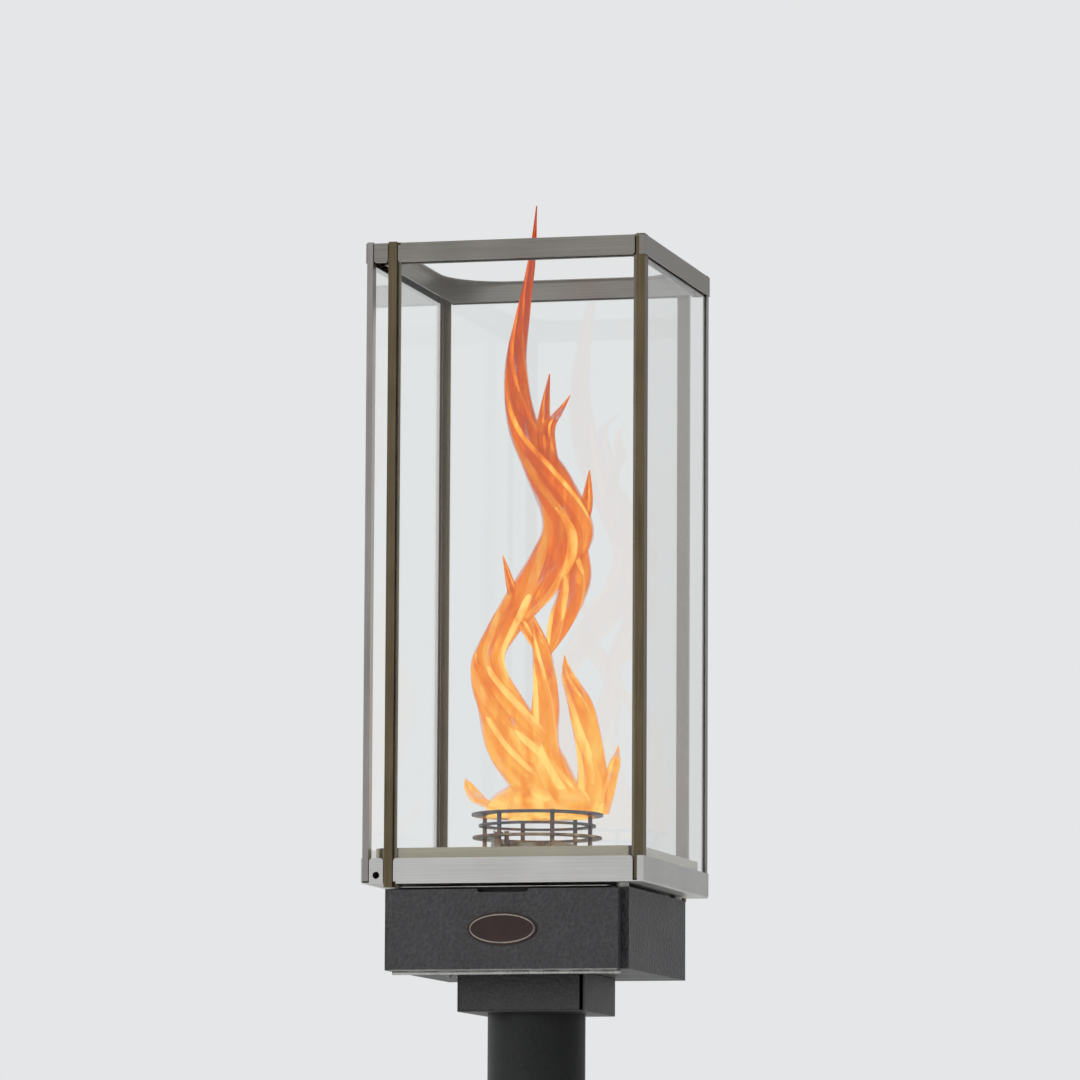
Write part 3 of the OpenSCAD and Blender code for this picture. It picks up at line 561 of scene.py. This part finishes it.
def glass_material(name):
    """Clear glass, green close to its ground edges, that lets light through in shadows."""
    material = bpy.data.materials.new(name)
    material.use_nodes = True
    tree = material.node_tree
    surface = tree.nodes["Principled BSDF"]
    surface.inputs["Transmission Weight"].default_value = 1.0
    surface.inputs["IOR"].default_value = 1.5
    made = add(tree, "ShaderNodeGroup", node_tree=pane)
    tree.links.new(made.outputs["Color"], surface.inputs["Base Color"])
    tree.links.new(made.outputs["Roughness"], surface.inputs["Roughness"])
    shadow = add(tree, "ShaderNodeLightPath").outputs["Is Shadow Ray"]
    clear = add(tree, "ShaderNodeBsdfTransparent", {0: (0.93, 0.96, 0.95, 1.0)})
    both = {0: shadow, 1: surface.outputs[0], 2: clear.outputs[0]}
    both = add(tree, "ShaderNodeMixShader", both)
    output = tree.nodes["Material Output"]
    tree.links.new(both.outputs[0], output.inputs["Surface"])
    return material


pane, given = effect("glass_pane", Clear=(0.985, 0.995, 0.99, 1.0))
place = add(pane, "ShaderNodeTexCoord").outputs["Object"]
x, y, z = add(pane, "ShaderNodeSeparateXYZ", {0: place}).outputs
smears = noise(pane, place, 11.0, 5.0)
mist = maths(pane, "MULTIPLY_ADD", smears, 0.09, -0.045, clamp=True)
glass_low, glass_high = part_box("glass_front")
above = maths(pane, "GREATER_THAN", z, glass_high.z - GLASS_EDGE / 2)
below = maths(pane, "LESS_THAN", z, glass_low.z + GLASS_EDGE / 2)
edge = maths(pane, "ADD", above, below, clamp=True)
colour = mixed(pane, edge, given["Clear"], (0.28, 0.62, 0.48, 1.0))
close(pane, colour, mist, smears)
softened(
    glass_material("clear_glass"),
    "torch",
    "clear_glass",
    "glass_front",
    "glass_right",
    "glass_back",
    "glass_left",
    edge=0.0005,
)
silicone = finish(
    "black_silicone",
    moulded,
    {
        "Main": (0.015, 0.015, 0.016, 1.0),
        "Second": (0.03, 0.03, 0.03, 1.0),
        "Grain": 700.0,
        "Gloss": 0.6,
    },
)
dress(silicone, "glass_blocks")


# --- Burner ----------------------------------------------------------------------------
# A stainless burner head, and six rods that carry three flat rings round the flame. The
# heat has left straw, purple and blue bands on them.


def colour_bands(tree, factor, stops):
    """The output of a colour ramp with these (position, colour) stops."""
    made = add(tree, "ShaderNodeValToRGB", {0: factor})
    ramp = made.color_ramp.elements
    for position, _ in stops[2:]:
        ramp.new(position)
    for stop, (position, colour) in zip(ramp, stops):
        stop.position = position
        stop.color = (*colour, 1.0)
    return made.outputs["Color"]


tint, given = effect("heat_tint", Start=1.77, Reach=0.05, Gloss=0.28)
place = add(tint, "ShaderNodeTexCoord").outputs["Object"]
level = add(tint, "ShaderNodeSeparateXYZ", {0: place}).outputs["Z"]
level = maths(tint, "DIVIDE", maths(tint, "SUBTRACT", level, given["Start"]), given["Reach"])
blotch = noise(tint, place, 70.0, 5.0)
heat = maths(tint, "MULTIPLY_ADD", blotch, 1.3, maths(tint, "ADD", level, -0.65))
TINTS = (
    (0.0, (0.42, 0.40, 0.37)),
    (0.25, (0.46, 0.35, 0.20)),
    (0.45, (0.27, 0.16, 0.10)),
    (0.6, (0.16, 0.11, 0.11)),
    (0.78, (0.12, 0.13, 0.17)),
    (1.0, (0.17, 0.155, 0.15)),
)
bands = colour_bands(tint, heat, TINTS)
soot = noise(tint, place, 260.0, 4.0)
close(
    tint,
    bands,
    maths(tint, "MULTIPLY_ADD", soot, 0.2, given["Gloss"]),
    soot,
)
heated = finish("heat_tinted_steel", tint, {}, relief=0.00004, Metallic=1.0)
dress(
    heated,
    "burner_head",
    "flame_ring_low",
    "flame_ring_mid",
    "flame_ring_top",
    "ring_rods",
)
cooler = finish(
    "warm_burner_tube",
    tint,
    {"Start": 1.74, "Reach": 0.12, "Gloss": 0.3},
    relief=0.00004,
    Metallic=1.0,
)
dress(cooler, "venturi_tube", "pilot_burner", "thermocouple")
dress(steel("shutter_steel", (0.6, 0.59, 0.57), (0.45, 0.44, 0.42)), "air_shutter")


# --- Valve, tubes and controls ---------------------------------------------------------
# Behind the door: a die-cast gas valve, brass fittings, bent aluminium tubes, a ribbed
# black knob, a red igniter button and a yellow shut-off lever.


def moulding(name, main, second, grain, gloss, relief=0.00005, **shader):
    """A material of the moulded or cast kind."""
    inputs = {
        "Main": (*main, 1.0),
        "Second": (*second, 1.0),
        "Grain": grain,
        "Gloss": gloss,
    }
    return finish(name, moulded, inputs, relief=relief, **shader)


dress(
    moulding(
        "cast_aluminium",
        (0.50, 0.51, 0.52),
        (0.36, 0.37, 0.38),
        1400.0,
        0.38,
        relief=0.0002,
        Metallic=1.0,
    ),
    "gas_valve",
)
dress(
    moulding(
        "brass", (0.72, 0.50, 0.22), (0.48, 0.31, 0.13), 420.0, 0.2, Metallic=1.0
    ),
    "gas_orifice",
    "orifice_holder",
    "shutoff_valve",
    "supply_tube",
    "valve_plunger",
    "valve_stem",
)
dress(
    moulding(
        "aluminium_tube", (0.66, 0.67, 0.68), (0.48, 0.49, 0.5), 350.0, 0.26, Metallic=1.0
    ),
    "link_tube",
    "outlet_tube",
)
dress(
    moulding("black_plastic", (0.018, 0.018, 0.019), (0.03, 0.03, 0.031), 1600.0, 0.38),
    "igniter_body",
)
knob_low, knob_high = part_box("control_knob")
knob_middle = (knob_low + knob_high) / 2
POINTER_HALF, POINTER_FROM, POINTER_DEPTH = 0.0009, 0.005, 0.004
marked, given = effect("knob_with_pointer", Plastic=(0.018, 0.018, 0.019, 1.0))
place = add(marked, "ShaderNodeTexCoord").outputs["Object"]
x, y, z = add(marked, "ShaderNodeSeparateXYZ", {0: place}).outputs
aside = maths(marked, "ABSOLUTE", maths(marked, "SUBTRACT", x, knob_middle.x))
line = maths(marked, "LESS_THAN", aside, POINTER_HALF)
outer = maths(marked, "GREATER_THAN", z, knob_middle.z + POINTER_FROM)
front = maths(marked, "LESS_THAN", y, knob_low.y + POINTER_DEPTH)
line = maths(marked, "MULTIPLY", line, maths(marked, "MULTIPLY", outer, front))
fine = noise(marked, place, 1600.0)
worn = maths(marked, "MULTIPLY", line, maths(marked, "MULTIPLY_ADD", fine, 0.6, 0.6))
colour = mixed(marked, worn, given["Plastic"], (0.8, 0.8, 0.78, 1.0))
close(marked, colour, maths(marked, "MULTIPLY_ADD", fine, 0.2, 0.32), fine)
dress(finish("knob_plastic", marked, {}, relief=0.00005), "control_knob")
dress(
    moulding("red_plastic", (0.50, 0.02, 0.015), (0.38, 0.012, 0.01), 1200.0, 0.26),
    "igniter_button",
)
dress(
    moulding("yellow_handle", (0.75, 0.50, 0.03), (0.6, 0.37, 0.02), 800.0, 0.34),
    "shutoff_handle",
)
dress(
    moulding("red_wire", (0.42, 0.02, 0.02), (0.3, 0.012, 0.012), 900.0, 0.4),
    "ignition_wire",
)
dress(
    moulding("white_ceramic", (0.72, 0.70, 0.65), (0.5, 0.46, 0.4), 500.0, 0.2),
    "spark_electrode",
)


# --- Flame -----------------------------------------------------------------------------
# Burning gas twists up out of the rings in soft tongues, yellow low down and red at the
# It only shows the torch lit, and isn't a part of the object.

FLAME_TURN = math.radians(14.3)
# Each tongue: (height over the deck, offset to the right, half width) in millimetres.
TONGUES = (
    (
        (40, 21, 27),
        (95, -6, 30),
        (141, -34, 25),
        (177, -46, 17),
        (205, -33, 18),
        (241, -6, 25),
        (277, 19, 27),
        (305, 26, 24),
        (350, 7, 21),
        (395, -15, 15),
        (450, -22, 11),
        (505, -15, 7),
        (550, -8, 4),
        (600, -4, 0.5),
    ),
    ((38, 21, 30), (86, -22, 22), (132, -42, 13), (168, -54, 6), (184, -57, 0.5)),
    ((38, 12, 30), (95, 3, 18), (141, 7, 14), (186, 3, 9), (223, -6, 0.5)),
    ((38, 44, 18), (77, 50, 15), (132, 40, 13), (164, 28, 7), (184, 24, 0.5)),
    ((180, 8, 0.5), (212, 20, 13), (250, 33, 15), (295, 32, 13), (323, 43, 7), (352, 46, 0.5)),
    ((185, -2, 0.5), (208, -10, 8), (228, -19, 8), (245, -25, 5), (275, -33, 0.5)),
    ((300, 20, 0.5), (340, 12, 11), (386, 7, 8), (405, 16, 5), (425, 28, 0.5)),
    ((335, 2, 0.5), (370, 2, 8), (414, 5, 5), (441, 9, 0.5)),
    ((38, -22, 10), (46, -45, 10), (56, -58, 8), (70, -66, 0.5)),
    ((38, 52, 14), (77, 68, 7), (102, 74, 0.5)),
    ((34, 0, 56), (46, 2, 52), (66, 8, 34), (92, 12, 0.5)),
)
TONGUE_STEPS, TONGUE_AROUND = 60, 20
SWINGS = 24.0


def curve_through(points, count):
    """A Catmull-Rom curve through rows of points, sampled evenly."""
    p = np.vstack([2 * points[0] - points[1], points, 2 * points[-1] - points[-2]])
    t = np.linspace(0, len(points) - 1, count)
    i = np.minimum(t.astype(int), len(points) - 2)
    f = (t - i)[:, None]
    a, b, c, d = p[i], p[i + 1], p[i + 2], p[i + 3]
    return 0.5 * (
        2 * b
        + (c - a) * f
        + (2 * a - 5 * b + 4 * c - d) * f**2
        + (3 * b - a - 3 * c + d) * f**3
    )


def tongue_mesh(points, order, share, side):
    """A flattened horn swept along a rising curve: a share of a tongue's width.

    Point = centre(s) + w(s) cos t along a line that turns with s + 0.45 w(s) sin t across.
    The centre swings from side to side within the tongue, starting at the phase side.
    """
    rows = curve_through(np.array(points, float) / 1000, TONGUE_STEPS)
    height, right, full = (rows[:, k, None] for k in range(3))
    full = np.maximum(full, 0.0003)
    half = np.maximum(full * share, 0.0003)
    s = np.linspace(0, 1, TONGUE_STEPS)[:, None]
    t = np.linspace(0, 2 * np.pi, TONGUE_AROUND, endpoint=False)
    turn = 0.5 * np.sin(5 * s + order)
    swing = (1 - share) * full
    right = right + 0.9 * swing * np.sin(SWINGS * height + side)
    depth = 0.014 * np.sin(9 * s + 2 * order) * np.minimum(1, 0.3 + s)
    depth = depth + 0.5 * swing * np.cos(SWINGS * height + side)
    wide, deep = half * np.cos(t), 0.45 * half * np.sin(t)
    x = right + wide * np.cos(turn) - deep * np.sin(turn)
    y = depth + wide * np.sin(turn) + deep * np.cos(turn)
    z = deck_top + height + 0 * t
    c, q = math.cos(FLAME_TURN), math.sin(FLAME_TURN)
    grid = np.stack([c * x - q * y, q * x + c * y, z], -1)
    return grid.reshape(-1, 3), lathe_faces(TONGUE_STEPS, TONGUE_AROUND)


def flame_material(name, cooler, strength, body):
    """Glowing gas: yellow to red with height, streaked, and clear at its outline."""
    material = bpy.data.materials.new(name)
    material.use_nodes = True
    tree = material.node_tree
    tree.nodes.clear()
    place = add(tree, "ShaderNodeTexCoord").outputs["Object"]
    up = add(tree, "ShaderNodeSeparateXYZ", {0: place}).outputs["Z"]
    streaks = {"Vector": place, "Scale": (1.0, 1.0, 0.16)}
    streaks = noise(tree, add(tree, "ShaderNodeMapping", streaks).outputs[0], 85.0, 4.0)
    facing = add(tree, "ShaderNodeLayerWeight", {"Blend": 0.5}).outputs["Facing"]
    level = maths(tree, "DIVIDE", maths(tree, "SUBTRACT", up, deck_top + 0.03), 0.57)
    level = maths(tree, "MULTIPLY_ADD", facing, 0.30, level)
    streaked = maths(tree, "MULTIPLY_ADD", streaks, -1.3, 0.65 + cooler)
    colours = colour_bands(tree, maths(tree, "ADD", level, streaked), FLAME_COLOURS)
    glow = {"Color": colours, "Strength": strength}
    glow = add(tree, "ShaderNodeEmission", glow).outputs[0]
    soft = maths(tree, "POWER", maths(tree, "SUBTRACT", 1.0, facing), 1.1)
    dense = maths(tree, "MULTIPLY_ADD", streaks, 2.0, body - 1.0)
    solid = maths(tree, "MULTIPLY", soft, dense, clamp=True)
    clear = add(tree, "ShaderNodeBsdfTransparent").outputs[0]
    shown = add(tree, "ShaderNodeMixShader", {0: solid, 1: clear, 2: glow}).outputs[0]
    add(tree, "ShaderNodeOutputMaterial", {"Surface": shown})
    return material


FLAME_COLOURS = (
    (0.0, (1.0, 0.64, 0.17)),
    (0.25, (1.0, 0.40, 0.045)),
    (0.55, (0.86, 0.15, 0.010)),
    (1.0, (0.42, 0.04, 0.006)),
)
deck_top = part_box("burner_deck")[1].z
GASES = (
    flame_material("outer_gas", 0.28, 1.0, 0.55),
    flame_material("middle_gas", 0.05, 1.05, 0.7),
    flame_material("inner_gas", -0.3, 1.15, 0.8),
)
# Share of a tongue's width, and how many strands of that share it has, for each gas.
STRANDS = ((1.0, 1), (0.36, 4), (0.2, 4))
for order, points in enumerate(TONGUES):
    for gas, (share, count) in zip(GASES, STRANDS):
        for strand in range(count):
            side = 2 * np.pi * strand / count + 1.7 * order + 3 * share
            vertices, faces = tongue_mesh(points, order, share, side)
            flame = smooth_mesh("flame", vertices, faces, gas)
            flame.visible_shadow = False


# --- Studio ----------------------------------------------------------------------------
# A wide pale floor in soft light: a large key lamp at the front left, a fill at the
# right, a rim lamp behind, and a pale room that glossy metal sees darker near the ground.

scene.view_settings.view_transform = "Standard"

BACKDROP_COLOUR, BACKDROP_STRENGTH = (0.98, 0.99, 1.0, 1.0), 0.80
# The floor turns into the backdrop's colour between these distances from the pole.
FLOOR_HALF, FADE_FROM, FADE_TO = 30.0, 0.8, 5.5
floor_mesh = bpy.data.meshes.new("studio_floor")
corners = [(-1, -1, 0), (1, -1, 0), (1, 1, 0), (-1, 1, 0)]
floor_mesh.from_pydata(
    [tuple(FLOOR_HALF * v for v in corner) for corner in corners], [], [(0, 1, 2, 3)]
)
floor = bpy.data.objects.new("studio_floor", floor_mesh)
floor.location.z = -0.0005
floor_paint = moulding("studio_floor", (0.84, 0.84, 0.83), (0.80, 0.80, 0.79), 40.0, 0.7)
floor_mesh.materials.append(floor_paint)
tree = floor_paint.node_tree
far = add(tree, "ShaderNodeTexCoord").outputs["Object"]
far = add(tree, "ShaderNodeVectorMath", {0: far}, operation="LENGTH").outputs["Value"]
far = add(tree, "ShaderNodeMapRange", {0: far, 1: FADE_FROM, 2: FADE_TO}).outputs[0]
path = add(tree, "ShaderNodeLightPath").outputs
seen = maths(tree, "MAXIMUM", path["Is Camera Ray"], path["Is Transmission Ray"])
haze = {"Color": BACKDROP_COLOUR, "Strength": BACKDROP_STRENGTH}
haze = add(tree, "ShaderNodeEmission", haze).outputs[0]
near = tree.nodes["Principled BSDF"].outputs[0]
near = {0: maths(tree, "MULTIPLY", far, seen), 1: near, 2: haze}
near = add(tree, "ShaderNodeMixShader", near).outputs[0]
tree.links.new(near, tree.nodes["Material Output"].inputs["Surface"])
scene.collection.objects.link(floor)


def lamp(name, place, target, size, power, colour, reflected):
    """A square soft box at a place, aimed at a target, that mirrors may show or not."""
    light = bpy.data.lights.new(name, "AREA")
    light.size = size
    light.energy = power
    light.color = colour
    made = bpy.data.objects.new(name, light)
    made.location = place
    aim = Vector(target) - Vector(place)
    made.rotation_euler = aim.to_track_quat("-Z", "Y").to_euler()
    made.visible_glossy = reflected
    made.visible_transmission = False
    scene.collection.objects.link(made)


lamp("key", (-2.4, -3.8, 2.5), (0, 0, 1.7), 2.4, 125.0, (1.0, 0.98, 0.95), False)
lamp("fill", (3.4, -2.2, 2.2), (0, 0, 1.6), 2.0, 12.0, (0.95, 0.98, 1.0), False)
lamp("rim", (1.5, 3.2, 3.4), (0, 0, 1.9), 1.6, 60.0, (1.0, 1.0, 1.0), False)

world = bpy.data.worlds.new("studio")
world.use_nodes = True
scene.world = world
tree = world.node_tree
tree.nodes.clear()
direction = add(tree, "ShaderNodeTexCoord").outputs["Generated"]
sideways, _, upward = add(tree, "ShaderNodeSeparateXYZ", {0: direction}).outputs
ramp = {0: upward, 1: -0.3, 2: 0.7, 3: 0.26, 4: 1.0}
ramp = add(tree, "ShaderNodeMapRange", ramp).outputs[0]
lit_side = {0: sideways, 1: -1.0, 2: 1.0, 3: 1.4, 4: 0.4}
lit_side = add(tree, "ShaderNodeMapRange", lit_side).outputs[0]
ramp = maths(tree, "MULTIPLY", ramp, lit_side)
path = add(tree, "ShaderNodeLightPath").outputs
seen = maths(
    tree, "MAXIMUM", path["Is Camera Ray"], path["Is Transmission Ray"], clamp=True
)
room = mixed(tree, path["Is Glossy Ray"], 0.5, ramp, "FLOAT")
strength = mixed(tree, seen, room, BACKDROP_STRENGTH, "FLOAT")
backdrop = {"Color": BACKDROP_COLOUR, "Strength": strength}
backdrop = add(tree, "ShaderNodeBackground", backdrop).outputs[0]
add(tree, "ShaderNodeOutputWorld", {"Surface": backdrop})

camera = bpy.data.objects.new("camera", bpy.data.cameras.new("camera"))
camera.data.sensor_width = 36.0
camera.data.lens = 216.3
CAMERA_PLACE = (1.4564, -5.7167, 1.3799)
CAMERA_TURN, CAMERA_RISE, CAMERA_ROLL = 14.286, 6.627, 0.306
camera.matrix_world = (
    Matrix.Translation(CAMERA_PLACE)
    @ Matrix.Rotation(math.radians(CAMERA_TURN), 4, "Z")
    @ Matrix.Rotation(math.radians(90 + CAMERA_RISE), 4, "X")
    @ Matrix.Rotation(math.radians(CAMERA_ROLL), 4, "Z")
)
scene.collection.objects.link(camera)
scene.camera = camera
